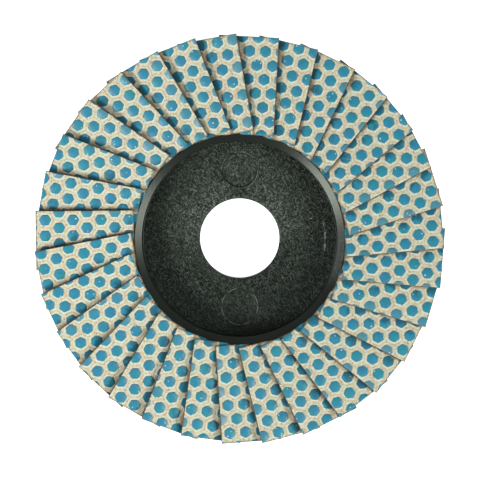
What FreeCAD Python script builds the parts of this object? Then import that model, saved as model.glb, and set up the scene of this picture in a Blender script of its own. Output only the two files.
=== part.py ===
# Flap disc for an angle grinder: a black moulded backing plate with a recess for
# the clamping nut, a saw-toothed resin bed, and a ring of overlapping inclined
# cloth flaps that carry hexagonal abrasive pads.
# Millimetres. +Z points to the abrasive face. The origin is the centre of the
# bore on the hub's back face, so the disc lies on its hub, abrasive face up.
import FreeCAD, Part
import math
import os

# Hub with its bore, and the recess for the clamping nut, whose wall ends in a
# collar with a lip that slopes down into the recess
bore_diameter = 22.23
bore_chamfer = 0.4
hub_thickness = 4.0
hub_edge_chamfer = 0.9
floor_radius = 27.2
recess_depth = 7.5
recess_draft = 0.15
lip_width = 2.05
lip_drop = 0.95
collar_height = 3.0

# How far the outside of the recess wall stands beyond the floor's edge
wall_at_back = 0.4
wall_at_flange = 4.0

# Ejector marks, halfway between the bore and the recess wall
mark_radius = 5.0
mark_depth = 0.15

# Flange that carries the flaps
flange_thickness = 2.6
rim_chamfer = 0.5
flap_overhang = 5.5

# Resin bed
bed_thickness = 0.6
bed_collar_gap = 0.1
bed_rim_margin = 1.5

# Cloth flaps
disc_diameter = 115.0
flap_count = 31
first_flap_angle = 1.02
flap_width = 16.4
flap_lead = 1.1
cloth_thickness = 0.8
flap_collar_gap = 0.3
flap_edge_gap = 0.05
stack_clearance = 0.08

# Hexagonal abrasive pads
pad_pitch = 4.5
pad_across_flats = 2.95
pad_height = 0.28
pad_margin = 0.05

# The flaps are cut from one patterned strip, so the pattern starts at another
# place on each. These two shares of the pitch spread the starts from flap to flap.
lateral_start_share = 0.618034
radial_start_share = 0.754878

# Worked out for the plate
bore_radius = bore_diameter / 2
collar_top = hub_thickness + recess_depth
lip_inner = floor_radius + recess_draft
collar_radius = lip_inner + lip_width
flange_front = collar_top - collar_height
flange_back = flange_front - flange_thickness
plate_radius = disc_diameter / 2 - flap_overhang
bed_top = flange_front + bed_thickness

# Worked out for the flaps. Each lies over the next one without touching its
# pads. The room between two flaps is least at their inner ends, and it sets how
# steep they stand. The middle of each flap leads its own radial line, so that
# its low outer corner stays behind the outer end of the flap that covers it.
step = math.radians(360 / flap_count)
flap_inner = collar_radius + flap_collar_gap
inner_advance = flap_inner * math.sin(step) - flap_width / 2 * (1 - math.cos(step))
flap_tilt = math.asin((cloth_thickness + pad_height + stack_clearance) / inner_advance)
cloth_lean = cloth_thickness * math.sin(flap_tilt)
cloth_rise = flap_width * math.sin(flap_tilt)
half_spread = (flap_width * math.cos(flap_tilt) - cloth_lean) / 2
free_edge = flap_lead + half_spread
low_edge = flap_lead - half_spread
flap_outer = math.sqrt((disc_diameter / 2) ** 2 - free_edge ** 2)
flap_length = flap_outer - flap_inner

# Worked out for the bed, a ring with one flat side for each flap
half_step_cos = math.cos(step / 2)
bed_inner_corner = (collar_radius + bed_collar_gap) / half_step_cos
bed_outer_corner = plate_radius - bed_rim_margin
tooth_end = low_edge - cloth_lean - flap_edge_gap
tooth_outer = math.sqrt((bed_outer_corner * half_step_cos) ** 2 - tooth_end ** 2)

# Worked out for the pads
pad_radius = pad_across_flats / math.sqrt(3)
row_pitch = pad_pitch * math.sqrt(3) / 2


def vec(x, y, z):
    return FreeCAD.Vector(x, y, z)


def closed_wire(points):
    return Part.makePolygon(points + [points[0]])


def polygon_wire(corner_radius, corners, height):
    """A regular polygon about Z, with its first corner on +Y."""
    turn = 2 * math.pi / corners
    return closed_wire([vec(corner_radius * math.sin(i * turn), corner_radius * math.cos(i * turn), height)
                        for i in range(corners)])


def to_flap(shape, number):
    """Turns a shape from the +Y axis clockwise, seen from the front, to a flap's place."""
    return shape.rotated(vec(0, 0, 0), vec(0, 0, 1), -first_flap_angle - math.degrees(number * step))


def onto_cloth(shape):
    """Tilts a shape drawn flat, X across and Y along the flap, about the flap's low edge."""
    turn = FreeCAD.Rotation(vec(0, 1, 0), -math.degrees(flap_tilt))
    place = FreeCAD.Placement(vec(low_edge, flap_inner, bed_top), turn)
    return shape.transformed(place.toMatrix(), copy=True)


def backing_plate():
    """One moulding: hub with bore, recess wall with collar, and flange."""
    outline = [
        (bore_radius, 0),
        (bore_radius, hub_thickness - bore_chamfer),
        (bore_radius + bore_chamfer, hub_thickness),
        (floor_radius, hub_thickness),
        (lip_inner, collar_top - lip_drop),
        (collar_radius, collar_top),
        (collar_radius, flange_front),
        (plate_radius, flange_front),
        (plate_radius, flange_back + rim_chamfer),
        (plate_radius - rim_chamfer, flange_back),
        (floor_radius + wall_at_flange, flange_back),
        (floor_radius + wall_at_back, hub_edge_chamfer),
        (floor_radius + wall_at_back - hub_edge_chamfer, 0),
    ]
    section = Part.Face(closed_wire([vec(r, 0, z) for r, z in outline]))
    plate = section.revolve(vec(0, 0, 0), vec(0, 0, 1), 360)
    mark_distance = (bore_radius + floor_radius) / 2
    for side in (1, -1):
        mark = Part.makeCylinder(mark_radius, recess_depth)
        mark.translate(vec(0, side * mark_distance, hub_thickness - mark_depth))
        plate = plate.cut(mark)
    return plate


def bed_layer(corner_radius):
    """A flat-sided disc of resin on the flange."""
    return Part.Face(polygon_wire(corner_radius, flap_count, flange_front)).extrude(vec(0, 0, bed_thickness))


def beside_next_flap(along):
    """The point just short of the next flap's low edge, in the frame of this flap."""
    x = tooth_end * math.cos(step) + along * math.sin(step)
    y = along * math.cos(step) - tooth_end * math.sin(step)
    return vec(x, y, bed_top)


def bed_tooth():
    """The wedge of resin between the bed's flat layer and the low half of a flap."""
    low_in = vec(low_edge, flap_inner, bed_top)
    low_out = vec(low_edge, tooth_outer, bed_top)
    foot = closed_wire([low_in, low_out, beside_next_flap(tooth_outer), beside_next_flap(flap_inner)])
    block = Part.Face(foot).extrude(vec(0, 0, cloth_rise))
    above_cloth = onto_cloth(Part.makeBox(flap_width, flap_length, 2 * cloth_rise))
    return block.cut(above_cloth)


def adhesive_bed():
    """The cured resin: its flat layer with one tooth under each flap."""
    ring = bed_layer(bed_outer_corner).cut(bed_layer(bed_inner_corner))
    tooth = bed_tooth()
    return ring.fuse([to_flap(tooth, number) for number in range(flap_count)])


def flap():
    """One rectangle of coated cloth, lying on its tooth by the low half."""
    return onto_cloth(Part.makeBox(flap_width, flap_length, cloth_thickness))


def is_open_to_view(across, along):
    """Whether any of a pad there lies outside the flap that covers this one."""
    x = low_edge + across * math.cos(flap_tilt)
    y = flap_inner + along
    beside = x * math.cos(step) + y * math.sin(step)
    return beside + pad_across_flats / 2 > free_edge


def pad_places(number):
    """Centres on the cloth of a flap's whole pads, apart from those the next flap hides."""
    lateral_start = number * lateral_start_share % 1 * pad_pitch
    radial_start = number * radial_start_share % 1 * row_pitch
    side_room = pad_across_flats / 2 + pad_margin
    end_room = pad_radius + pad_margin
    places = []
    for row in range(math.ceil(flap_length / row_pitch)):
        along = radial_start + row * row_pitch
        for column in range(math.ceil(flap_width / pad_pitch)):
            across = lateral_start + (column + row % 2 / 2) * pad_pitch
            on_cloth = end_room < along < flap_length - end_room and across < flap_width - side_room
            if on_cloth and is_open_to_view(across, along):
                places.append(vec(across, along, cloth_thickness))
    return places


def diamond_pads():
    """The pads open to view, each its own solid on its flap's cloth."""
    pad = Part.Face(polygon_wire(pad_radius, 6, 0)).extrude(vec(0, 0, pad_height))
    pads = []
    for number in range(flap_count):
        for place in pad_places(number):
            pads.append(to_flap(onto_cloth(pad.translated(place)), number))
    return Part.makeCompound(pads)


os.makedirs("parts", exist_ok=True)
backing_plate().exportStep("parts/backing_plate.step")
adhesive_bed().exportStep("parts/adhesive_bed.step")
diamond_pads().exportStep("parts/diamond_pads.step")
one_flap = flap()
for number in range(flap_count):
    to_flap(one_flap, number).exportStep("parts/flap_%02d.step" % (number + 1))
print("flaps tilt %.2f degrees and are %.2f mm long" % (math.degrees(flap_tilt), flap_length))
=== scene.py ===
# Flap disc, abrasive face up: moulded plate, resin, cloth flaps and hexagonal pads.
# Lengths in the dictionaries are millimetres and noise scales are per millimetre. A span gives
# the values at which an effect starts and is full, and a share tells how much of it is laid on.
import math
import random

import bmesh
import bpy
from mathutils import Matrix, Vector, noise


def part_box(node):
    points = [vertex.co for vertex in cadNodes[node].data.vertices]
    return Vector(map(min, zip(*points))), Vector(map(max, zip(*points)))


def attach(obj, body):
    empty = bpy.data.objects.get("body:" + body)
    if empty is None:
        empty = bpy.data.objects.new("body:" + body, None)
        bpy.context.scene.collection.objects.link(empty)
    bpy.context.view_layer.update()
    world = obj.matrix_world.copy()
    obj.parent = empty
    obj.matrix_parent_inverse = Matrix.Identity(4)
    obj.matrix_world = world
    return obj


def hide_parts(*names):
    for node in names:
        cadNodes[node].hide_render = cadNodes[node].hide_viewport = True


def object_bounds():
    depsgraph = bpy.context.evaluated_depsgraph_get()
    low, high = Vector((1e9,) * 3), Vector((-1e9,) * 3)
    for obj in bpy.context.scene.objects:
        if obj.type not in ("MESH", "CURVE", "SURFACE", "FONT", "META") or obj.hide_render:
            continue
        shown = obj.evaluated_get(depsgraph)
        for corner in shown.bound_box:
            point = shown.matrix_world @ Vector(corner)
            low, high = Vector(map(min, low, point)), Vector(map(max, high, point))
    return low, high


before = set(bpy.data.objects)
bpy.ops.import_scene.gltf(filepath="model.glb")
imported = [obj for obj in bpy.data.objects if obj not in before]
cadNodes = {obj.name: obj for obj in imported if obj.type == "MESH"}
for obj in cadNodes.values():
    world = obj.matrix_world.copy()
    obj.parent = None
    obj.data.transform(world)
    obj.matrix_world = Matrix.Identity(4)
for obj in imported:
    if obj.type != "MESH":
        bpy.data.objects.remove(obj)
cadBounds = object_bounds()
mm = 0.001
flapNodes = sorted(name for name in cadNodes if name.startswith("flap_"))
print("frame loaded,", len(cadNodes), "nodes")


# Small helpers for shader nodes

def paint(code):  # a screen colour such as "f0e4c8" as linear RGBA
    channels = [int(code[i:i + 2], 16) / 255 for i in (0, 2, 4)]
    linear = [c / 12.92 if c <= 0.04045 else ((c + 0.055) / 1.055) ** 2.4 for c in channels]
    return (*linear, 1.0)


def feed(tree, socket, value):
    if isinstance(value, bpy.types.NodeSocket):
        tree.links.new(value, socket)
    else:
        socket.default_value = value


def maths(tree, operation, first, second=0.0, third=0.0):
    node = tree.nodes.new("ShaderNodeMath")
    node.operation = operation
    for socket, value in zip(node.inputs, (first, second, third)):
        feed(tree, socket, value)
    return node.outputs[0]


def multiply(tree, *values):
    product = values[0]
    for value in values[1:]:
        product = maths(tree, "MULTIPLY", product, value)
    return product


def lessWhere(tree, value, mask, share):  # a value, less a share of it where the mask is full
    return maths(tree, "MULTIPLY", value, maths(tree, "MULTIPLY_ADD", mask, -share, 1.0))


def planDistance(tree, x, y):
    return maths(tree, "SQRT", maths(tree, "MULTIPLY_ADD", x, x, maths(tree, "MULTIPLY", y, y)))


def rescale(tree, value, low, high, toLow=0.0, toHigh=1.0):  # a soft step from low to high
    node = tree.nodes.new("ShaderNodeMapRange")
    node.interpolation_type = "SMOOTHSTEP"
    given = {"Value": value, "From Min": low, "From Max": high, "To Min": toLow, "To Max": toHigh}
    for name, item in given.items():
        feed(tree, node.inputs[name], item)
    return node.outputs[0]


def blendColours(tree, factor, first, second):
    node = tree.nodes.new("ShaderNodeMix")
    node.data_type = "RGBA"
    for socket, value in ((node.inputs[0], factor), (node.inputs[6], first), (node.inputs[7], second)):
        feed(tree, socket, value)
    return node.outputs[2]


def layOver(tree, colour, over, mask, share=1.0):
    return blendColours(tree, maths(tree, "MULTIPLY", mask, share), colour, over)


def noiseAt(tree, place, scale, detail=3.0, roughness=0.5):
    node = tree.nodes.new("ShaderNodeTexNoise")
    for name, value in (("Vector", place), ("Scale", scale), ("Detail", detail), ("Roughness", roughness)):
        feed(tree, node.inputs[name], value)
    return node.outputs[0]


def objectPlace(tree):  # place on the object in millimetres
    source = tree.nodes.new("ShaderNodeTexCoord")
    node = tree.nodes.new("ShaderNodeVectorMath")
    node.operation = "SCALE"
    tree.links.new(source.outputs["Object"], node.inputs[0])
    node.inputs["Scale"].default_value = 1 / mm
    return node.outputs[0]


def splitPlace(tree, place):
    node = tree.nodes.new("ShaderNodeSeparateXYZ")
    tree.links.new(place, node.inputs[0])
    return node.outputs


def attributeOf(tree, name, output="Fac"):
    node = tree.nodes.new("ShaderNodeAttribute")
    node.attribute_name = name
    return node.outputs[output]


def startGroup(name, numbers, output):
    # A node group that takes a place and some numbers, and gives one value back
    tree = bpy.data.node_groups.new(name, "ShaderNodeTree")
    tree.interface.new_socket("Vector", in_out="INPUT", socket_type="NodeSocketVector")
    for socketName, value in numbers.items():
        socket = tree.interface.new_socket(socketName, in_out="INPUT", socket_type="NodeSocketFloat")
        socket.default_value = value
    tree.interface.new_socket(output, in_out="OUTPUT", socket_type="NodeSocketFloat")
    return tree, tree.nodes.new("NodeGroupInput").outputs, tree.nodes.new("NodeGroupOutput").inputs[output]


def useGroup(tree, group, place, numbers):
    node = tree.nodes.new("ShaderNodeGroup")
    node.node_tree = group
    tree.links.new(place, node.inputs["Vector"])
    for name, value in numbers.items():
        feed(tree, node.inputs[name], value)
    return node.outputs[0]


def startMaterial(name, roughness, specular):
    material = bpy.data.materials.new(name)
    material.use_nodes = True
    tree = material.node_tree
    shader = tree.nodes["Principled BSDF"]
    shader.inputs["Roughness"].default_value = roughness
    shader.inputs["Specular IOR Level"].default_value = specular
    return material, tree, shader


def bumpFrom(tree, shader, height, distance, strength):
    node = tree.nodes.new("ShaderNodeBump")
    node.inputs["Distance"].default_value = distance * mm
    node.inputs["Strength"].default_value = strength
    tree.links.new(height, node.inputs["Height"])
    tree.links.new(node.outputs[0], shader.inputs["Normal"])


# Effects that materials share

def makeSpeckGroup():
    # Small round specks, in a share of the cells of a cell pattern
    smallest = 0.35  # of the size that is asked for
    fullWithin = 0.55  # of a speck's radius
    tree, given, result = startGroup("scatteredSpecks", {"Scale": 2.0, "Share": 0.2, "Size": 0.25}, "Mask")
    cells = tree.nodes.new("ShaderNodeTexVoronoi")
    tree.links.new(given["Vector"], cells.inputs["Vector"])
    tree.links.new(given["Scale"], cells.inputs["Scale"])
    pick = tree.nodes.new("ShaderNodeSeparateColor")
    tree.links.new(cells.outputs["Color"], pick.inputs[0])
    chosen = maths(tree, "LESS_THAN", pick.outputs[0], given["Share"])
    radius = maths(tree, "MULTIPLY", given["Size"], maths(tree, "ADD", pick.outputs[1], smallest))
    spot = rescale(tree, cells.outputs["Distance"], radius, maths(tree, "MULTIPLY", radius, fullWithin))
    tree.links.new(maths(tree, "MULTIPLY", chosen, spot), result)
    return tree


def makeMottleGroup():
    # Cloudy change of tone, from coarse patches and a finer grain
    noiseSpan = (0.3, 0.7)
    tree, given, result = startGroup(
        "mottledTone", {"Patch Scale": 0.5, "Grain Scale": 4.0, "Grain Share": 0.5}, "Tone")
    mixed = tree.nodes.new("ShaderNodeMix")
    tree.links.new(given["Grain Share"], mixed.inputs[0])
    tree.links.new(noiseAt(tree, given["Vector"], given["Patch Scale"]), mixed.inputs[2])
    tree.links.new(noiseAt(tree, given["Vector"], given["Grain Scale"], roughness=0.6), mixed.inputs[3])
    tree.links.new(rescale(tree, mixed.outputs[0], *noiseSpan), result)
    return tree


def makeHexGroup():
    # Distance to the nearest centre of the pad pattern, measured square to a pad's sides
    tree, given, result = startGroup("padPattern", {"Pitch": 4.5}, "Distance")
    across = splitPlace(tree, given["Vector"])
    rowPair = maths(tree, "MULTIPLY", given["Pitch"], math.sqrt(3))
    nearest = None
    for share in (0.0, 0.5):  # even rows, then odd rows
        sides = []
        for axis, period in ((0, given["Pitch"]), (1, rowPair)):
            centred = maths(tree, "ADD", across[axis], maths(tree, "MULTIPLY", period, 0.5 - share))
            wrapped = maths(tree, "FLOORED_MODULO", centred, period)
            half = maths(tree, "MULTIPLY", period, 0.5)
            sides.append(maths(tree, "ABSOLUTE", maths(tree, "SUBTRACT", wrapped, half)))
        slantPart = maths(tree, "MULTIPLY", sides[1], math.sqrt(3) / 2)
        span = maths(tree, "MAXIMUM", sides[0], maths(tree, "MULTIPLY_ADD", sides[0], 0.5, slantPart))
        nearest = span if nearest is None else maths(tree, "MINIMUM", nearest, span)
    tree.links.new(nearest, result)
    return tree


def makeCreviceShadeGroup():
    # Painted shade beside the edge of the flap above, with some grime, deepest at the edge and
    # uneven along it. Reach is the distance beyond that edge, and is below zero under the flap.
    unevenScale = 0.35
    unevenSpan = (0.32, 0.68)
    widthShares = (0.35, 1.6)  # of the width that is asked for
    fullWithin = 0.3  # of the width there
    underFlapSpan = (-0.6, -0.2)
    tree, given, result = startGroup("paintedCreviceShadeAndGrime", {"Reach": 1.0, "Width": 1.5}, "Mask")
    uneven = noiseAt(tree, given["Vector"], unevenScale, roughness=0.6)
    width = maths(tree, "MULTIPLY", given["Width"], rescale(tree, uneven, *unevenSpan, *widthShares))
    beside = rescale(tree, given["Reach"], width, maths(tree, "MULTIPLY", width, fullWithin))
    tree.links.new(multiply(tree, beside, rescale(tree, given["Reach"], *underFlapSpan)), result)
    return tree


specks = makeSpeckGroup()
mottle = makeMottleGroup()
padPattern = makeHexGroup()
creviceShadeAndGrime = makeCreviceShadeGroup()
print("shader groups ready:", specks.name, mottle.name, padPattern.name, creviceShadeAndGrime.name)


# Meshes

def buildPiece(name, corners, faces, materials, slotOfFace=None, sharpAngle=40):
    mesh = bpy.data.meshes.new(name)
    mesh.from_pydata(corners, [], faces)
    for material in materials:
        mesh.materials.append(material)
    if slotOfFace:
        mesh.polygons.foreach_set("material_index", slotOfFace)
    mesh.update()
    mesh.shade_smooth()
    mesh.set_sharp_from_angle(angle=math.radians(sharpAngle))
    piece = bpy.data.objects.new(name, mesh)
    bpy.context.scene.collection.objects.link(piece)
    return piece


def storeValues(piece, name, kind, values):
    data = piece.data.attributes.new(name, kind, "POINT")
    flat = [x for value in values for x in value] if kind == "FLOAT_VECTOR" else values
    data.data.foreach_set("vector" if kind == "FLOAT_VECTOR" else "value", flat)


def roundCorner(start, corner, end, steps):
    shares = [k / steps for k in range(steps + 1)]
    return [start * (1 - t) ** 2 + corner * 2 * t * (1 - t) + end * t ** 2 for t in shares]


# Backing plate

plateLook = {
    "segments": 288,
    "sharpAngle": 32,  # degrees
    "boreRadius": 11.115,
    "boreChamfer": 0.4,
    "hubThickness": 4.0,
    "floorRadius": 27.2,
    "lipInner": 27.35,
    "lipDrop": 0.95,
    "collarRadius": 29.4,
    "flangeFront": 8.5,
    "flangeBack": 5.9,
    "rimChamfer": 0.5,
    "wallAtBack": 0.4,
    "wallAtFlange": 4.0,
    "hubEdge": 0.9,
    "collarRound": 0.1,  # how far each rounding reaches from its corner
    "fineRound": 0.12,
    "softRound": 0.2,
    "hubRound": 0.3,
    "boreRound": 0.5,
    "wallRound": 0.7,
    "roundSteps": 4,
    "roundHold": 0.04,  # a point this far past each end keeps the straight runs flat when smoothed
    "longestRound": 0.45,  # share of a side that a rounding may take up
    "markRadius": 5.0,
    "markDepth": 0.15,
    "markSlope": 0.32,  # width of the sloping edge of each ejector mark
    "markSegments": 96,
    "flashRadius": 0.09,  # of the raised line round each ejector mark
    "flashSides": 6,
    "flashSegments": 120,
    "black": paint("0b1310"),
    "fibre": paint("9ca89c"),
    "greyHazeAndLight": paint("262f28"),
    "pit": paint("0b0f0b"),
    # the raised line's plastic is paler, lightened partly as a painted highlight
    "flash": paint("868c84"),
    "smooth": paint("1e231f"),
    "dust": paint("c4c8c2"),
    "shine": (0.89, 1.0, 0.86, 1.0),  # a faint green cast in the plastic's shine
    "specular": 0.45,
    "lipRoughness": 0.31,
    "floorRoughness": 0.26,
    "greyRoughness": 0.52,
    "floorSpan": (0.1, -0.3),  # the floor's own finish, from the floor's radius
    "floorHeightSpan": (-0.6, -0.3),  # and from its height
    # The grey is partly a rougher finish and partly painted light: lighter upwards and round the bore, darker
    # towards the wall
    "greyCentreX": -0.6,  # the grey, rough part of the floor fades out round this point
    "greyCentreY": 5.5,
    "greySpan": (24.5, 6.0),
    "greyLeast": 0.15,
    "patchScale": 0.2,  # clouds in the grey
    "patchSpan": (0.34, 0.66),
    "patchTones": (0.45, 1.15),
    # painted light: the floor is painted lighter upwards
    "upperLeftLean": -0.34,  # the floor gets greyer upwards, and to the left by this share
    "lowerSpan": (-18.0, 8.0),
    "lowerLeast": 0.1,
    # paler shoulders of painted light above the bore
    "shoulderRiseSpan": (-2.0, 5.0),
    "shoulderSideSpan": (4.0, 9.0),
    "shoulderReachSpan": (20.0, 13.0),
    "shoulderGrey": 0.4,
    "markRingSpan": (0.36, 0.2),
    "ringLessGrey": 0.9,
    "ringLessFibre": 0.75,
    "greyHazeAndLightShare": 0.6,
    "fleckScale": 2.6,
    "fleckSpan": (0.54, 0.66),
    "streakAngles": (-54, -36, -71, 38),  # degrees
    "streakSize": (1.5, 0.36, 1.0),
    "streakSpan": (0.58, 0.7),
    "fibreGreyShare": 0.38,
    "fibreSpan": (-22.0, -4.0),
    "fibreShares": (0.11, 0.185),
    "fibreHeight": 0.8,
    "pitScale": 1.2,
    "pitSpan": (0.5, 0.38),
    "pitShare": 0.75,
    "pitLessFibre": 0.7,
    "scuffRadius": 23.9,
    "scuffStart": (76, 83),  # degrees from the upper edge of the photograph
    "scuffEnd": (103, 93),
    "scuffSpan": (0.95, 0.5),
    "scuffWander": 1.2,
    "scuffWanderScale": 1.2,
    "scuffBreakScale": 1.4,
    "scuffBreakSpan": (0.4, 0.58),
    "scuffShare": 0.8,
    "paleArcStart": (80, 98),  # degrees, as for the scuff
    "paleArcEnd": (122, 102),
    "paleArcScale": 1.1,
    "paleArcSpan": (0.3, 0.7),
    "paleArcShares": (0.07, 0.16),
    "motes": {"Scale": 0.5, "Share": 0.1, "Size": 0.1},
    "moteShare": 0.7,
    "grainScale": 1.8,
    "lipGrain": 0.4,
    "floorGrain": 0.12,
    "bumpDepth": 0.05,
    "bumpStrength": 0.8,
    "flashRoughness": 0.3,
    "flashSpecular": 0.6,
    "flashScale": 0.6,
    "flashSpan": (0.4, 0.6),
}
markDistance = (plateLook["boreRadius"] + plateLook["floorRadius"]) / 2  # halfway from bore to wall


def roundedOutline(points, look):  # rounds each corner (radius, height, rounding) of a closed outline
    outline = []
    count = len(points)
    hold = look["roundHold"]
    longest = look["longestRound"]
    for i, (r, z, rounding) in enumerate(points):
        here = Vector((r, z))
        before = Vector(points[i - 1][:2]) - here
        after = Vector(points[(i + 1) % count][:2]) - here
        if rounding == 0:
            outline.append(here)
            continue
        half = before.angle(after) / 2
        reach = min(rounding / math.tan(half), before.length * longest, after.length * longest)
        start = here + before.normalized() * reach
        end = here + after.normalized() * reach
        outline.append(start + before.normalized() * hold)
        outline += roundCorner(start, here, end, look["roundSteps"])
        outline.append(end + after.normalized() * hold)
    return outline


def latheRing(outline, segments):
    corners = []
    faces = []
    count = len(outline)
    for i in range(segments):
        turn = 2 * math.pi * i / segments
        for point in outline:
            corners.append((point.x * math.cos(turn) * mm, point.x * math.sin(turn) * mm, point.y * mm))
    for i in range(segments):
        a = i * count
        b = (i + 1) % segments * count
        for k in range(count):
            n = (k + 1) % count
            faces.append((a + k, b + k, b + n, a + n))
    return corners, faces


def roughGreyAndPaintedLight(tree, place, radius, towardUpperLeft, look):
    # How grey and rough the floor is, with painted light in the grey: cloudy round one point and
    # fading darker towards the wall, lighter upwards, with two paler shoulders above the bore,
    # one on each side of the upper mark
    x, y = splitPlace(tree, place)[:2]
    fromX = maths(tree, "SUBTRACT", x, look["greyCentreX"])
    fromY = maths(tree, "SUBTRACT", y, look["greyCentreY"])
    faded = rescale(tree, planDistance(tree, fromX, fromY), *look["greySpan"], look["greyLeast"], 1.0)
    clouds = noiseAt(tree, place, look["patchScale"], detail=4.0, roughness=0.6)
    greyAndPaintedLight = maths(tree, "MULTIPLY", faded, rescale(tree, clouds, *look["patchSpan"], *look["patchTones"]))
    paintedLightUpwards = rescale(tree, towardUpperLeft, *look["lowerSpan"], look["lowerLeast"], 1.0)
    paintedLightShoulders = multiply(
        tree,
        rescale(tree, y, *look["shoulderRiseSpan"]),
        rescale(tree, maths(tree, "ABSOLUTE", x), *look["shoulderSideSpan"]),
        rescale(tree, radius, *look["shoulderReachSpan"], 0.0, look["shoulderGrey"]))
    return maths(tree, "MULTIPLY_ADD", greyAndPaintedLight, paintedLightUpwards, paintedLightShoulders)


def markRingMask(tree, place, look):
    # The smoother rings that the ejector pins left
    x, y = splitPlace(tree, place)[:2]
    fromMark = maths(tree, "SUBTRACT", maths(tree, "ABSOLUTE", y), markDistance)
    ringRadius = look["markRadius"] - look["markSlope"] / 2
    offRing = maths(tree, "SUBTRACT", planDistance(tree, x, fromMark), ringRadius)
    return rescale(tree, maths(tree, "ABSOLUTE", offRing), *look["markRingSpan"])


def fibreStreaks(tree, place, angle, look):
    # Short light streaks that lie along one direction of the floor
    turned = tree.nodes.new("ShaderNodeMapping")
    turned.vector_type = "TEXTURE"
    tree.links.new(place, turned.inputs["Vector"])
    turned.inputs["Location"].default_value = (angle, 0, 0)  # another stretch of the noise
    turned.inputs["Rotation"].default_value = (0, 0, math.radians(angle))
    turned.inputs["Scale"].default_value = look["streakSize"]
    return rescale(tree, noiseAt(tree, turned.outputs[0], 1.0, detail=2.0), *look["streakSpan"])


def arcMask(tree, bearing, start, end):
    started = rescale(tree, bearing, *[math.radians(a) for a in start])
    return maths(tree, "MULTIPLY", started, rescale(tree, bearing, *[math.radians(a) for a in end]))


def scuffMask(tree, place, radius, bearing, look):
    # A faint broken scuff runs round part of the floor near the wall
    offLine = maths(tree, "ABSOLUTE", maths(tree, "SUBTRACT", radius, look["scuffRadius"]))
    wander = noiseAt(tree, place, look["scuffWanderScale"], detail=2.0)
    offLine = maths(tree, "MULTIPLY_ADD", wander, look["scuffWander"], offLine)
    breaks = noiseAt(tree, place, look["scuffBreakScale"])
    return multiply(
        tree,
        arcMask(tree, bearing, look["scuffStart"], look["scuffEnd"]),
        rescale(tree, offLine, *look["scuffSpan"]),
        rescale(tree, breaks, *look["scuffBreakSpan"]))


def plateMaterial(look):
    material, tree, shader = startMaterial("mouldedNylon", look["lipRoughness"], look["specular"])
    shader.inputs["Specular Tint"].default_value = look["shine"]
    place = objectPlace(tree)
    x, y, z = splitPlace(tree, place)
    radius = planDistance(tree, x, y)
    bearing = maths(tree, "ARCTAN2", x, y)
    towardUpperLeft = maths(tree, "MULTIPLY_ADD", x, look["upperLeftLean"], y)
    floorReaches = [look["floorRadius"] + past for past in look["floorSpan"]]
    floorHeights = [look["hubThickness"] + past for past in look["floorHeightSpan"]]
    onFloor = maths(tree, "MULTIPLY", rescale(tree, radius, *floorReaches), rescale(tree, z, *floorHeights))
    offFloor = maths(tree, "SUBTRACT", 1.0, onFloor)
    markRing = markRingMask(tree, place, look)
    # The grey is partly a rougher finish and partly painted light, darker towards the wall
    greyAndPaintedLight = maths(tree, "MULTIPLY", roughGreyAndPaintedLight(tree, place, radius, towardUpperLeft, look), onFloor)
    greyAndPaintedLight = lessWhere(tree, greyAndPaintedLight, markRing, look["ringLessGrey"])
    colour = blendColours(tree, onFloor, look["smooth"], look["black"])
    colour = layOver(tree, colour, look["greyHazeAndLight"], greyAndPaintedLight, look["greyHazeAndLightShare"])
    pits = rescale(tree, noiseAt(tree, place, look["pitScale"], roughness=0.65), *look["pitSpan"])
    colour = layOver(tree, colour, look["pit"], maths(tree, "MULTIPLY", pits, onFloor), look["pitShare"])
    # Glass fibres show as light flecks and short streaks, and less in the pits
    flecks = noiseAt(tree, place, look["fleckScale"], detail=2.0, roughness=0.6)
    fibres = rescale(tree, flecks, *look["fleckSpan"])
    for angle in look["streakAngles"]:
        fibres = maths(tree, "MAXIMUM", fibres, fibreStreaks(tree, place, angle, look))
    fibreShare = rescale(tree, towardUpperLeft, *look["fibreSpan"], *look["fibreShares"])
    fibreShare = maths(tree, "MULTIPLY", onFloor, fibreShare)
    fibreShare = maths(tree, "MULTIPLY_ADD", greyAndPaintedLight, look["fibreGreyShare"], fibreShare)
    fibreShare = lessWhere(tree, fibreShare, pits, look["pitLessFibre"])
    fibreShare = lessWhere(tree, fibreShare, markRing, look["ringLessFibre"])
    colour = layOver(tree, colour, look["fibre"], fibres, fibreShare)
    # The scuff on the floor, and a paler arc of the collar beside it
    scuff = maths(tree, "MULTIPLY", scuffMask(tree, place, radius, bearing, look), onFloor)
    colour = layOver(tree, colour, look["dust"], scuff, look["scuffShare"])
    paleArcTone = rescale(tree, noiseAt(tree, place, look["paleArcScale"]), *look["paleArcSpan"], *look["paleArcShares"])
    paleArc = maths(tree, "MULTIPLY", arcMask(tree, bearing, look["paleArcStart"], look["paleArcEnd"]), offFloor)
    colour = layOver(tree, colour, look["dust"], paleArc, paleArcTone)
    motes = useGroup(tree, specks, place, look["motes"])
    colour = layOver(tree, colour, look["dust"], motes, look["moteShare"])
    tree.links.new(colour, shader.inputs["Base Color"])
    roughness = rescale(tree, greyAndPaintedLight, 0.0, 1.0, look["floorRoughness"], look["greyRoughness"])
    smoothPart = maths(tree, "MAXIMUM", markRing, offFloor)
    roughness = rescale(tree, smoothPart, 0.0, 1.0, roughness, look["lipRoughness"])
    tree.links.new(roughness, shader.inputs["Roughness"])
    grainHeight = rescale(tree, onFloor, 0.0, 1.0, look["lipGrain"], look["floorGrain"])
    grain = maths(tree, "MULTIPLY", noiseAt(tree, place, look["grainScale"]), grainHeight)
    height = maths(tree, "MULTIPLY_ADD", fibres, maths(tree, "MULTIPLY", onFloor, look["fibreHeight"]), grain)
    bumpFrom(tree, shader, height, look["bumpDepth"], look["bumpStrength"])
    return material


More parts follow.
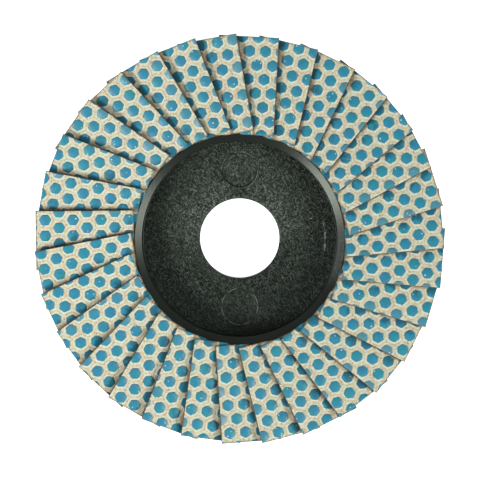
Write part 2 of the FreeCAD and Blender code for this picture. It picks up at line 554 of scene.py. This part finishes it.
def flashMaterial(look):
    material, tree, shader = startMaterial("mouldingFlashWithPaintedHighlight", look["flashRoughness"], look["flashSpecular"])
    # Paler plastic mottled along the raised line, lightened partly as a painted highlight
    uneven = noiseAt(tree, objectPlace(tree), look["flashScale"], roughness=0.6)
    colour = blendColours(tree, rescale(tree, uneven, *look["flashSpan"]), look["smooth"], look["flash"])
    tree.links.new(colour, shader.inputs["Base Color"])
    return material


def cutMarks(plate, look):
    # Cuts the two ejector marks, each a shallow cone so that its edge slopes
    builder = bmesh.new()
    for side in (1, -1):
        centre = Vector((0, side * markDistance, look["hubThickness"])) * mm
        bmesh.ops.create_cone(builder, cap_ends=True, segments=look["markSegments"],
                              radius1=(look["markRadius"] - look["markSlope"]) * mm,
                              radius2=(look["markRadius"] + look["markSlope"]) * mm,
                              depth=2 * look["markDepth"] * mm, matrix=Matrix.Translation(centre))
    cutterMesh = bpy.data.meshes.new("markCutter")
    builder.to_mesh(cutterMesh)
    builder.free()
    cutter = bpy.data.objects.new("markCutter", cutterMesh)
    bpy.context.scene.collection.objects.link(cutter)
    cut = plate.modifiers.new("marks", "BOOLEAN")
    cut.object = cutter
    cut.solver = "EXACT"
    bpy.context.view_layer.update()
    evaluated = plate.evaluated_get(bpy.context.evaluated_depsgraph_get())
    finished = bpy.data.meshes.new_from_object(evaluated)
    plate.modifiers.clear()
    plate.data = finished
    finished.set_sharp_from_angle(angle=math.radians(look["sharpAngle"]))
    bpy.data.objects.remove(cutter)


def makePlate(look):
    floorEdge = look["floorRadius"]
    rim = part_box("backing_plate")[1].x / mm
    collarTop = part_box("backing_plate")[1].z / mm
    outline = roundedOutline([
        (look["boreRadius"], 0, look["fineRound"]),
        (look["boreRadius"], look["hubThickness"] - look["boreChamfer"], look["fineRound"]),
        (look["boreRadius"] + look["boreChamfer"], look["hubThickness"], look["boreRound"]),
        (floorEdge, look["hubThickness"], look["softRound"]),
        (look["lipInner"], collarTop - look["lipDrop"], look["fineRound"]),
        (look["collarRadius"], collarTop, look["collarRound"]),
        (look["collarRadius"], look["flangeFront"], 0),
        (rim, look["flangeFront"], look["softRound"]),
        (rim, look["flangeBack"] + look["rimChamfer"], look["softRound"]),
        (rim - look["rimChamfer"], look["flangeBack"], look["softRound"]),
        (floorEdge + look["wallAtFlange"], look["flangeBack"], look["wallRound"]),
        (floorEdge + look["wallAtBack"], look["hubEdge"], look["hubRound"]),
        (floorEdge + look["wallAtBack"] - look["hubEdge"], 0, look["hubRound"]),
    ], look)
    corners, faces = latheRing(outline, look["segments"])
    plate = buildPiece("mouldedPlate", corners, faces, [plateMaterial(look)], sharpAngle=look["sharpAngle"])
    cutMarks(plate, look)
    return plate


def makeMarkFlash(look, material):
    # The thin raised line that an ejector pin leaves round its mark
    thin = look["flashRadius"]
    turns = [2 * math.pi * k / look["flashSides"] for k in range(look["flashSides"])]
    profile = [Vector((look["markRadius"] + thin * (1 + math.cos(a)), thin * math.sin(a))) for a in turns]
    corners, faces = latheRing(profile, look["flashSegments"])
    allCorners = []
    allFaces = []
    for side in (1, -1):
        shift = Vector((0, side * markDistance, look["hubThickness"])) * mm
        first = len(allCorners)
        allCorners += [tuple(Vector(c) + shift) for c in corners]
        allFaces += [tuple(first + i for i in face) for face in faces]
    return buildPiece("markFlash", allCorners, allFaces, [material])


plate = makePlate(plateLook)
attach(plate, "root")
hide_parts("backing_plate")
flash = makeMarkFlash(plateLook, flashMaterial(plateLook))
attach(flash, "root")
print("backing plate:", len(plate.data.polygons), "faces")


# Resin bed, and the bead that squeezes out beside the collar

resinLook = {
    "brown": paint("c0a27a"),
    "dark": paint("785738"),
    "roughness": 0.35,
    "specular": 0.5,
    "tone": {"Patch Scale": 0.5, "Grain Scale": 2.5, "Grain Share": 0.4},
    "bumpScale": 1.2,
    "bumpDepth": 0.12,
    "bumpStrength": 0.6,
    "beadSteps": 540,
    "beadSides": 8,
    "beadWidth": 0.2,  # half of the bead, from the collar towards the flaps
    "beadMiddle": 0.8,  # of that width, from the collar
    "beadFoot": 0.3,  # above the bed's underside
    "beadTop": 11.45,
    "swellWaves": 9,
    "swellLift": 0.35,
    "fineWaves": 40,
    "fineLift": 0.15,
    "fineWidth": 0.2,
}


def resinMaterial(look):
    material, tree, shader = startMaterial("curedResin", look["roughness"], look["specular"])
    place = objectPlace(tree)
    tone = useGroup(tree, mottle, place, look["tone"])
    tree.links.new(blendColours(tree, tone, look["dark"], look["brown"]), shader.inputs["Base Color"])
    bumpFrom(tree, shader, noiseAt(tree, place, look["bumpScale"]), look["bumpDepth"], look["bumpStrength"])
    return material


def makeBead(look, material):
    # Fills the slit between the collar and the inner ends of the flaps
    corners = []
    faces = []
    around = look["beadSides"]
    steps = look["beadSteps"]
    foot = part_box("adhesive_bed")[0].z / mm + look["beadFoot"]
    middle = plateLook["collarRadius"] + look["beadWidth"] * look["beadMiddle"]
    for i in range(steps):
        turn = 2 * math.pi * i / steps
        swell = noise.noise(Vector((math.cos(turn), math.sin(turn), 0.3)) * look["swellWaves"])
        fineSwell = noise.noise(Vector((math.cos(turn), math.sin(turn), 1.3)) * look["fineWaves"])
        top = look["beadTop"] + look["swellLift"] * swell + look["fineLift"] * fineSwell
        width = look["beadWidth"] * (1 + look["fineWidth"] * fineSwell)
        for k in range(around):
            a = 2 * math.pi * k / around
            r = middle + width * math.cos(a)
            z = (top + foot) / 2 + (top - foot) / 2 * math.sin(a)
            corners.append((r * math.cos(turn) * mm, r * math.sin(turn) * mm, z * mm))
    for i in range(steps):
        for k in range(around):
            n = (k + 1) % around
            j = (i + 1) % steps
            faces.append((i * around + k, j * around + k, j * around + n, i * around + n))
    return buildPiece("resinBead", corners, faces, [material])


resin = resinMaterial(resinLook)
bed = cadNodes["adhesive_bed"]
bed.data.materials.clear()
bed.data.materials.append(resin)
bead = makeBead(resinLook, resin)
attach(bead, "root")
print("resin bed and bead ready")


# Cloth flaps

flapLook = {
    "meshStep": 0.6,
    "edgeRow": 0.17,  # a finer mesh line runs this far from each edge
    "edgeBand": 0.51,  # the cloth droops within this distance of its edges
    "edgeDrop": 0.045,
    "sideLevels": (0.3, 0.65),  # mesh lines round the cut sides, as shares of the thickness
    "fray": 0.035,
    "frayWaves": 1.7,
    "unevenness": 0.02,
    "unevenWaves": 0.6,
    "turnSpread": 1.6,  # degrees by which a flap may be turned in its own plane
    "turnPivot": (0.6, 0.5),  # shares of the width and the length
    "shiftSpread": 0.3,  # how far a flap may stand in or out
    "shiftRange": (-1, 0.35),
    "seed": 7,
    "cream": paint("e9efd0"),
    "halo": paint("f4f7e8"),
    "sand": paint("c6b884"),
    "pink": paint("e0b290"),
    "brownSpeck": paint("8a7049"),
    "edgeBrown": paint("6a4a2e"),
    "backing": paint("8c6a45"),
    # painted shade, with some grime, beside the edge of the flap above
    "shadeAndGrime": paint("5f4b2b"),
    "roughness": 0.82,
    "specular": 0.35,
    "tone": {"Patch Scale": 0.8, "Grain Scale": 1.9, "Grain Share": 0.6},
    "toneShare": 0.95,
    "wobbleScale": 2.2,  # the paler rims round the pads are uneven
    "wobble": 0.22,
    "haloWidth": 0.7,
    "haloFullWithin": 0.3,  # of that width
    "haloShare": 0.8,
    "pinkScale": 1.5,
    "pinkSpan": (0.54, 0.66),
    "pinkShare": 0.72,
    "brownSpecks": {"Scale": 1.9, "Share": 0.26, "Size": 0.5},
    "speckShare": 0.5,
    "shadeAndGrimeWidth": 0.85,
    "shadeAndGrimeShare": 0.6,
    "rimFade": 0.3,  # how much less worn each mesh line is than the one further out
    "rimWobbleScale": 2.6,
    "rimWobble": 0.9,
    "rimSpan": (0.3, 0.85),
    "rimShare": 0.75,
    "grainScale": 6.0,
    "grainHeight": 0.7,
    "haloHeight": 0.5,
    "bumpDepth": 0.06,
    "bumpStrength": 0.7,
    "cutRoughness": 0.9,
    "cutSpecular": 0.2,
    "cutTone": {"Patch Scale": 0.7, "Grain Scale": 5.0, "Grain Share": 0.6},
    "cutToneShare": 0.5,
    "threadScale": 0.9,
    "threadDistortion": 0.6,
    "threadShare": 0.45,
    "threadDepth": 0.08,
    "threadStrength": 0.7,
}

padLook = {
    "pitch": 4.5,
    "acrossFlats": 2.95,
    "height": 0.28,
    "sink": 0.03,
    "bevel": 0.13,
    # Shares of the bevel inwards and below the top, and how much painted shade darkens the rim there
    "bevelRows": ((0.0, 0.7, 1.0), (0.35, 0.2, 0.8), (1.0, 0.0, 0.0)),
    "rounding": 0.3,
    "roundingSteps": 2,
    "sharpAngle": 50,  # degrees
    "cutInset": 0.05,
    "smallestCut": 0.25,  # square millimetres
    "lateralStartShare": 0.618034,  # where the pattern starts on each flap, as in the solids
    "radialStartShare": 0.754878,
    "wornWidth": 2.8,  # pads are worn paler up to this far from a flap's free edge
    "wornWidthRange": (0.2, 1),
    "wearRange": (0.4, 1),
    "seed": 3,
    "teal": paint("34a4b1"),
    "blue": paint("3c9abc"),
    "deepBlue": paint("23809f"),
    "greyBlue": paint("82aeb3"),
    # painted shade on the bevelled rim of each pad
    "rim": paint("37666b"),
    # painted shade beside the edge of the flap above
    "shadeAndGrime": paint("0f4a5c"),
    "paintedGlint": paint("f4fafa"),
    "specular": 0.5,
    "roughnesses": (0.3, 0.48),
    "hueScale": 0.45,
    "hueSpan": (0.4, 0.6),
    "tone": {"Patch Scale": 0.6, "Grain Scale": 5.5, "Grain Share": 0.5},
    "toneShare": 0.75,
    "paintedGlints": {"Scale": 1.2, "Share": 0.12, "Size": 0.28},
    "paintedGlintShare": 0.7,
    "rimShare": 0.7,
    "shadeAndGrimeWidth": 2.9,
    "shadeAndGrimeShare": 0.62,
    "bumpScale": 5.0,
    "bumpDepth": 0.05,
    "bumpStrength": 0.6,
}


def addCreviceShadeAndGrime(tree, colour, place, look):
    # Painted shade, with some grime on the cloth, beside the edge of the flap above
    reach = {"Reach": attributeOf(tree, "fromCover"), "Width": look["shadeAndGrimeWidth"]}
    return layOver(tree, colour, look["shadeAndGrime"], useGroup(tree, creviceShadeAndGrime, place, reach), look["shadeAndGrimeShare"])


def clothMaterial(look):
    material, tree, shader = startMaterial("coatedCloth", look["roughness"], look["specular"])
    place = objectPlace(tree)
    tone = useGroup(tree, mottle, place, look["tone"])
    colour = layOver(tree, look["cream"], look["sand"], tone, look["toneShare"])
    # A paler rim lies round each pad
    inPattern = attributeOf(tree, "clothPlace", "Vector")
    distance = useGroup(tree, padPattern, inPattern, {"Pitch": padLook["pitch"]})
    wobble = noiseAt(tree, place, look["wobbleScale"])
    wobble = maths(tree, "MULTIPLY_ADD", wobble, look["wobble"], -look["wobble"] / 2)
    offPad = maths(tree, "ADD", maths(tree, "SUBTRACT", distance, padLook["acrossFlats"] / 2), wobble)
    halo = rescale(tree, offPad, look["haloWidth"], look["haloWidth"] * look["haloFullWithin"])
    colour = layOver(tree, colour, look["halo"], halo, look["haloShare"])
    pinkPatches = noiseAt(tree, place, look["pinkScale"], detail=2.0, roughness=0.6)
    pinkPatches = rescale(tree, pinkPatches, *look["pinkSpan"])
    colour = layOver(tree, colour, look["pink"], pinkPatches, look["pinkShare"])
    brown = useGroup(tree, specks, place, look["brownSpecks"])
    colour = layOver(tree, colour, look["brownSpeck"], brown, look["speckShare"])
    # Painted shade, with some grime, beside the edge of the flap above
    colour = addCreviceShadeAndGrime(tree, colour, place, look)
    # The edges are frayed and browned
    frayed = noiseAt(tree, place, look["rimWobbleScale"])
    frayed = maths(tree, "MULTIPLY_ADD", frayed, look["rimWobble"], -look["rimWobble"] / 2)
    frayed = rescale(tree, maths(tree, "ADD", attributeOf(tree, "rim"), frayed), *look["rimSpan"])
    colour = layOver(tree, colour, look["edgeBrown"], frayed, look["rimShare"])
    tree.links.new(colour, shader.inputs["Base Color"])
    grain = noiseAt(tree, place, look["grainScale"], roughness=0.6)
    haloHeight = maths(tree, "MULTIPLY", halo, look["haloHeight"])
    height = maths(tree, "MULTIPLY_ADD", grain, look["grainHeight"], haloHeight)
    bumpFrom(tree, shader, height, look["bumpDepth"], look["bumpStrength"])
    return material


def cutClothMaterial(look):
    # The cut edges and the woven back of the cloth
    material, tree, shader = startMaterial("cutCloth", look["cutRoughness"], look["cutSpecular"])
    weave = tree.nodes.new("ShaderNodeTexWave")
    weave.wave_type = "BANDS"
    weave.bands_direction = "DIAGONAL"
    tree.links.new(attributeOf(tree, "clothPlace", "Vector"), weave.inputs["Vector"])
    weave.inputs["Scale"].default_value = look["threadScale"]
    weave.inputs["Distortion"].default_value = look["threadDistortion"]
    threads = weave.outputs["Fac"]
    tone = useGroup(tree, mottle, objectPlace(tree), look["cutTone"])
    tone = maths(tree, "MULTIPLY", tone, look["cutToneShare"])
    shade = maths(tree, "MULTIPLY_ADD", threads, look["threadShare"], tone)
    tree.links.new(blendColours(tree, shade, look["edgeBrown"], look["backing"]), shader.inputs["Base Color"])
    bumpFrom(tree, shader, threads, look["threadDepth"], look["threadStrength"])
    return material


def flapFrame(node):
    # The place of a flap's low inner corner and its directions, read from its solid
    mesh = node.data
    mesh.calc_loop_triangles()
    up = max(mesh.loop_triangles, key=lambda t: t.area * (1 if t.normal.z > 0 else 0)).normal.copy()
    points = [v.co for v in mesh.vertices]
    centre = sum(points, Vector()) / len(points)
    along = Vector((centre.x, centre.y, 0)).normalized()
    across = along.cross(up).normalized()
    if across.z < 0:
        across = -across
    lows = [min(p.dot(d) for p in points) for d in (across, along, up)]
    highs = [max(p.dot(d) for p in points) for d in (across, along, up)]
    return {
        "corner": across * lows[0] + along * lows[1] + up * lows[2],
        "across": across,
        "along": along,
        "up": up,
        "size": [(high - low) / mm for low, high in zip(lows, highs)],
    }


def fromFlap(place, u, v, w):
    return place["corner"] + (place["across"] * u + place["along"] * v + place["up"] * w) * mm


def looselyPlaced(place, look, chance):
    # Turns a flap a little in its own plane and moves it in or out, within the solids' box
    turn = Matrix.Rotation(math.radians(chance.uniform(-1, 1) * look["turnSpread"]), 3, place["up"])
    width, length, thickness = place["size"]
    pivot = fromFlap(place, width * look["turnPivot"][0], length * look["turnPivot"][1], 0)
    place["corner"] = pivot + turn @ (place["corner"] - pivot)
    place["across"] = turn @ place["across"]
    place["along"] = turn @ place["along"]
    shift = chance.uniform(*look["shiftRange"]) * look["shiftSpread"] * mm
    place["corner"] = place["corner"] + place["along"] * shift
    ends = [fromFlap(place, u, length, w) for u in (0, width) for w in (0, thickness + padLook["height"])]
    low, high = cadBounds
    excess = max(max(p.x - high[0], low[0] - p.x, p.y - high[1], low[1] - p.y) for p in ends)
    if excess > 0:
        place["corner"] = place["corner"] - place["along"] * excess
    return place


def freeEdge(place):
    # The free edge of a flap in plan: a point on it, and the direction away from the flap
    width, length, thickness = place["size"]
    foot = fromFlap(place, width, 0, thickness)
    tip = fromFlap(place, width, length, thickness)
    along = (tip - foot).xy.normalized()
    return foot.xy, Vector((along.y, -along.x))


def beyondEdge(edge, point):
    # How far a point lies beyond the free edge of the flap that covers its own
    return (point.xy - edge[0]).dot(edge[1]) / mm


def patternStart(number):
    rowPitch = padLook["pitch"] * math.sqrt(3) / 2
    return (number * padLook["lateralStartShare"] % 1 * padLook["pitch"],
            number * padLook["radialStartShare"] % 1 * rowPitch)


def meshLines(length, look):
    inner = look["edgeBand"]
    count = round((length - 2 * inner) / look["meshStep"])
    middle = [inner + (length - 2 * inner) * i / count for i in range(count + 1)]
    return [0.0, look["edgeRow"]] + middle + [length - look["edgeRow"], length]


def makeFlap(number, place, cover, materials, look):
    width, length, thickness = place["size"]
    us = meshLines(width, look)
    vs = meshLines(length, look)
    startU, startV = patternStart(number)
    corners = []
    clothPlaces = []
    rims = []
    reaches = []
    faces = []
    slots = []

    def addPoint(u, v, w, rim):  # the cut edges waver inwards, another way on each flap
        seed = Vector((u * look["frayWaves"] + number * 31, v * look["frayWaves"], w * 3))
        shiftU = 0.0
        shiftV = 0.0
        if u in (0.0, width):
            inwards = -1 if u else 1
            shiftU = look["fray"] * inwards * (1 - noise.noise(seed))
        if v in (0.0, length):
            inwards = -1 if v else 1
            shiftV = look["fray"] * (inwards + noise.noise(seed + Vector((5, 5, 5))))
        corners.append(fromFlap(place, u + shiftU, v + shiftV, w))
        clothPlaces.append((u - startU, v - startV, w))
        rims.append(rim)
        reaches.append(beyondEdge(cover, corners[-1]))
        return len(corners) - 1

    def topHeight(u, v):
        toEdge = min(u, width - u, v, length - v)
        drop = look["edgeDrop"] * max(0, 1 - toEdge / look["edgeBand"]) ** 2
        seed = Vector((u * look["unevenWaves"], v * look["unevenWaves"], number * 7))
        uneven = look["unevenness"] * (noise.noise(seed) - 0.5)
        return thickness - drop + min(0, uneven)

    def wornRim(i, j):  # the ends fray further in than the sides
        if i in (0, len(us) - 1):
            return 1.0
        fromEnd = min(j, len(vs) - 1 - j)
        return max(0.0, 1.0 - look["rimFade"] * fromEnd)

    top = []
    for i, u in enumerate(us):
        top.append([addPoint(u, v, topHeight(u, v), wornRim(i, j)) for j, v in enumerate(vs)])
    bottom = [[addPoint(u, v, 0.0, 0.0) for v in vs] for u in us]
    for i in range(len(us) - 1):
        for j in range(len(vs) - 1):
            faces.append((top[i][j], top[i + 1][j], top[i + 1][j + 1], top[i][j + 1]))
            slots.append(0)
            faces.append((bottom[i][j], bottom[i][j + 1], bottom[i + 1][j + 1], bottom[i + 1][j]))
            slots.append(1)
    border = [(i, 0) for i in range(len(us))]
    border += [(len(us) - 1, j) for j in range(1, len(vs))]
    border += [(i, len(vs) - 1) for i in range(len(us) - 2, -1, -1)]
    border += [(0, j) for j in range(len(vs) - 2, 0, -1)]
    levels = [[bottom[i][j] for i, j in border]]
    for share in look["sideLevels"]:
        levels.append([addPoint(us[i], vs[j], thickness * share, 1.0) for i, j in border])
    levels.append([top[i][j] for i, j in border])
    for low, high in zip(levels, levels[1:]):
        for k in range(len(border)):
            n = (k + 1) % len(border)
            faces.append((low[k], low[n], high[n], high[k]))
            slots.append(1)
    flap = buildPiece("clothFlap_%02d" % (number + 1), corners, faces, materials, slots)
    storeValues(flap, "clothPlace", "FLOAT_VECTOR", clothPlaces)
    storeValues(flap, "rim", "FLOAT", rims)
    storeValues(flap, "fromCover", "FLOAT", reaches)
    return flap


clothMaterials = [clothMaterial(flapLook), cutClothMaterial(flapLook)]
chance = random.Random(flapLook["seed"])
flapPlaces = [looselyPlaced(flapFrame(cadNodes[name]), flapLook, chance) for name in flapNodes]
freeEdges = [freeEdge(place) for place in flapPlaces]  # each flap lies over the next one
for number, name in enumerate(flapNodes):
    flap = makeFlap(number, flapPlaces[number], freeEdges[number - 1], clothMaterials, flapLook)
    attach(flap, "root")
    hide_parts(name)
print("cloth flaps:", len(flapNodes), "each", [round(x, 2) for x in flapPlaces[0]["size"]])


# Hexagonal pads

def padMaterial(look):
    material, tree, shader = startMaterial("blueAbrasive", look["roughnesses"][0], look["specular"])
    place = objectPlace(tree)
    tone = useGroup(tree, mottle, place, look["tone"])
    hue = rescale(tree, noiseAt(tree, place, look["hueScale"], detail=2.0), *look["hueSpan"])
    colour = blendColours(tree, hue, look["teal"], look["blue"])
    colour = layOver(tree, colour, look["deepBlue"], tone, look["toneShare"])
    colour = blendColours(tree, attributeOf(tree, "wear"), colour, look["greyBlue"])
    # Painted glints: white specks standing in for the grit catching the light
    paintedGlints = useGroup(tree, specks, place, look["paintedGlints"])
    colour = layOver(tree, colour, look["paintedGlint"], paintedGlints, look["paintedGlintShare"])
    # Painted shade on the bevelled rim of each pad
    colour = layOver(tree, colour, look["rim"], attributeOf(tree, "padRimShade"), look["rimShare"])
    # Painted shade beside the edge of the flap above
    colour = addCreviceShadeAndGrime(tree, colour, place, look)
    tree.links.new(colour, shader.inputs["Base Color"])
    tree.links.new(rescale(tree, tone, 0.0, 1.0, *look["roughnesses"]), shader.inputs["Roughness"])
    grain = noiseAt(tree, place, look["bumpScale"], roughness=0.6)
    bumpFrom(tree, shader, grain, look["bumpDepth"], look["bumpStrength"])
    return material


def hexOutline(u, v, look):
    radius = look["acrossFlats"] / math.sqrt(3)
    turns = [math.radians(60 * k) for k in range(6)]
    tips = [Vector((math.sin(turn), math.cos(turn))) * radius for turn in turns]
    points = []
    for k, tip in enumerate(tips):
        start = tip + (tips[k - 1] - tip).normalized() * look["rounding"]
        end = tip + (tips[(k + 1) % 6] - tip).normalized() * look["rounding"]
        points += [Vector((u, v)) + p for p in roundCorner(start, tip, end, look["roundingSteps"])]
    return points


def clipToSide(points, axis, limit, sign):
    # Keeps the part of an outline on one side of a straight cut
    kept = []
    for i, here in enumerate(points):
        before = points[i - 1]
        insideHere = sign * (limit - here[axis]) >= 0
        insideBefore = sign * (limit - before[axis]) >= 0
        if insideHere != insideBefore:
            kept.append(before.lerp(here, (limit - before[axis]) / (here[axis] - before[axis])))
        if insideHere:
            kept.append(here)
    return kept


def insetOutline(points, distance):
    middle = sum(points, Vector((0, 0))) / len(points)
    reach = max((p - middle).length for p in points)
    return [middle + (p - middle) * (1 - distance / reach) for p in points]


def padOutlines(number, size, look):
    # Every pad of a flap, with those at its cut edges cut along with the cloth
    width, length = size[:2]
    rowPitch = look["pitch"] * math.sqrt(3) / 2
    startU, startV = patternStart(number)
    inset = look["cutInset"]
    cuts = ((0, inset, -1), (0, width - inset, 1), (1, inset, -1), (1, length - inset, 1))
    outlines = []
    for row in range(-1, math.ceil(length / rowPitch) + 1):
        for column in range(-1, math.ceil(width / look["pitch"]) + 1):
            u = startU + (column + row % 2 / 2) * look["pitch"]
            v = startV + row * rowPitch
            outline = hexOutline(u, v, look)
            for axis, limit, sign in cuts:
                if outline:
                    outline = clipToSide(outline, axis, limit, sign)
            area = sum(outline[i - 1].cross(outline[i]) for i in range(len(outline))) / 2
            if abs(area) > look["smallestCut"]:
                outlines.append(outline)
    return outlines


def makePads(places, edges, material, look):
    corners = []
    faces = []
    wears = []
    rims = []
    reaches = []
    chance = random.Random(look["seed"])
    for number, place in enumerate(places):
        width, length, top = place["size"]
        wornWidth = look["wornWidth"] * chance.uniform(*look["wornWidthRange"])
        for outline in padOutlines(number, place["size"], look):
            count = len(outline)
            first = len(corners)
            fromEdge = width - sum(p.x for p in outline) / count
            wear = max(0, 1 - fromEdge / wornWidth) * chance.uniform(*look["wearRange"])
            rings = [(outline, -look["sink"], 1.0)]
            for inwards, below, rim in look["bevelRows"]:
                inner = insetOutline(outline, look["bevel"] * inwards)
                rings.append((inner, look["height"] - look["bevel"] * below, rim))
            for ring, level, rim in rings:
                for p in ring:
                    corners.append(fromFlap(place, p.x, p.y, top + level))
                    wears.append(wear)
                    rims.append(rim)
                    reaches.append(beyondEdge(edges[number - 1], corners[-1]))
            for level in range(len(rings) - 1):
                for k in range(count):
                    n = (k + 1) % count
                    a = first + level * count
                    faces.append((a + n, a + k, a + count + k, a + count + n))
            lastRing = first + (len(rings) - 1) * count
            faces.append(tuple(range(lastRing + count - 1, lastRing - 1, -1)))
            faces.append(tuple(range(first, first + count)))
    pads = buildPiece("hexPads", corners, faces, [material], sharpAngle=look["sharpAngle"])
    storeValues(pads, "wear", "FLOAT", wears)
    storeValues(pads, "padRimShade", "FLOAT", rims)
    storeValues(pads, "fromCover", "FLOAT", reaches)
    return pads


pads = makePads(flapPlaces, freeEdges, padMaterial(padLook), padLook)
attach(pads, "root")
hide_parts("diamond_pads")
print("pads:", len(pads.data.polygons), "faces")


# Floor, light and camera

studio = {
    "floorSize": 1600.0,
    "floorDrop": 0.2,  # keeps the floor just clear of the hub
    "floorColour": paint("ffffff"),
    "floorGlow": 1.0,
    "floorRoughness": 0.9,
    "floorSpecular": 0.1,
    "worldColour": paint("ffffff"),
    "worldStrength": 0.22,
    "lampDistance": 900.0,
    "lampElevation": 40.0,  # degrees above the floor
    "leftBearing": 238.0,  # degrees clockwise from the upper edge of the photograph
    "leftWidth": 480.0,
    "leftHeight": 200.0,
    "leftPower": 5.0,  # watts
    "rightBearing": 107.0,
    "rightWidth": 420.0,
    "rightHeight": 290.0,
    "rightPower": 3.8,
}

cameraLook = {
    "distance": 1600.0,
    "millimetresPerPixel": 57.5 / 206,  # the photograph's disc has a radius of 206 pixels
    "imageWidth": 480,
    "sensorWidth": 36,
    "clipStart": 50.0,
    "tilt": 2.2,  # degrees, towards the upper edge of the photograph
    "targetX": 0.08,
    "targetY": -0.17,
    "targetHeight": 12.5,
}


def makeFloor(look):
    half = look["floorSize"] / 2 * mm
    corners = [(-half, -half, 0), (half, -half, 0), (half, half, 0), (-half, half, 0)]
    material, tree, shader = startMaterial("paleFloor", look["floorRoughness"], look["floorSpecular"])
    shader.inputs["Base Color"].default_value = look["floorColour"]
    shader.inputs["Emission Color"].default_value = look["floorColour"]
    shader.inputs["Emission Strength"].default_value = look["floorGlow"]
    floor = buildPiece("paleFloor", corners, [(0, 1, 2, 3)], [material])
    floor.location.z = -look["floorDrop"] * mm


def addSoftLight(name, look, side):
    light = bpy.data.lights.new(name, "AREA")
    light.shape = "ELLIPSE"
    light.size = look[side + "Width"] * mm
    light.size_y = look[side + "Height"] * mm
    light.energy = look[side + "Power"]
    lamp = bpy.data.objects.new(name, light)
    rise = math.radians(look["lampElevation"])
    turn = math.radians(look[side + "Bearing"])
    towards = Vector((math.sin(turn) * math.cos(rise), math.cos(turn) * math.cos(rise), math.sin(rise)))
    lamp.location = towards * look["lampDistance"] * mm
    lamp.rotation_euler = (-towards).to_track_quat("-Z", "Y").to_euler()
    bpy.context.scene.collection.objects.link(lamp)


def makeLights(look):
    world = bpy.data.worlds.new("paleStudio")
    world.use_nodes = True
    background = world.node_tree.nodes["Background"]
    background.inputs["Strength"].default_value = look["worldStrength"]
    background.inputs["Color"].default_value = look["worldColour"]
    bpy.context.scene.world = world
    addSoftLight("leftLamp", look, "left")
    addSoftLight("rightLamp", look, "right")


def makeCamera(look):
    tilt = math.radians(look["tilt"])
    camera = bpy.data.cameras.new("photoCamera")
    camera.sensor_width = look["sensorWidth"]
    frameWidth = look["millimetresPerPixel"] * look["imageWidth"]
    camera.lens = camera.sensor_width * look["distance"] / frameWidth
    camera.clip_start = look["clipStart"] * mm
    holder = bpy.data.objects.new("photoCamera", camera)
    target = Vector((look["targetX"], look["targetY"], look["targetHeight"])) * mm
    holder.location = target + Vector((0, math.sin(tilt), math.cos(tilt))) * look["distance"] * mm
    holder.rotation_euler = (-tilt, 0, 0)
    bpy.context.scene.collection.objects.link(holder)
    bpy.context.scene.camera = holder


makeFloor(studio)
makeLights(studio)
makeCamera(cameraLook)
bpy.context.scene.view_settings.view_transform = "Standard"
print("floor, lights and camera ready")
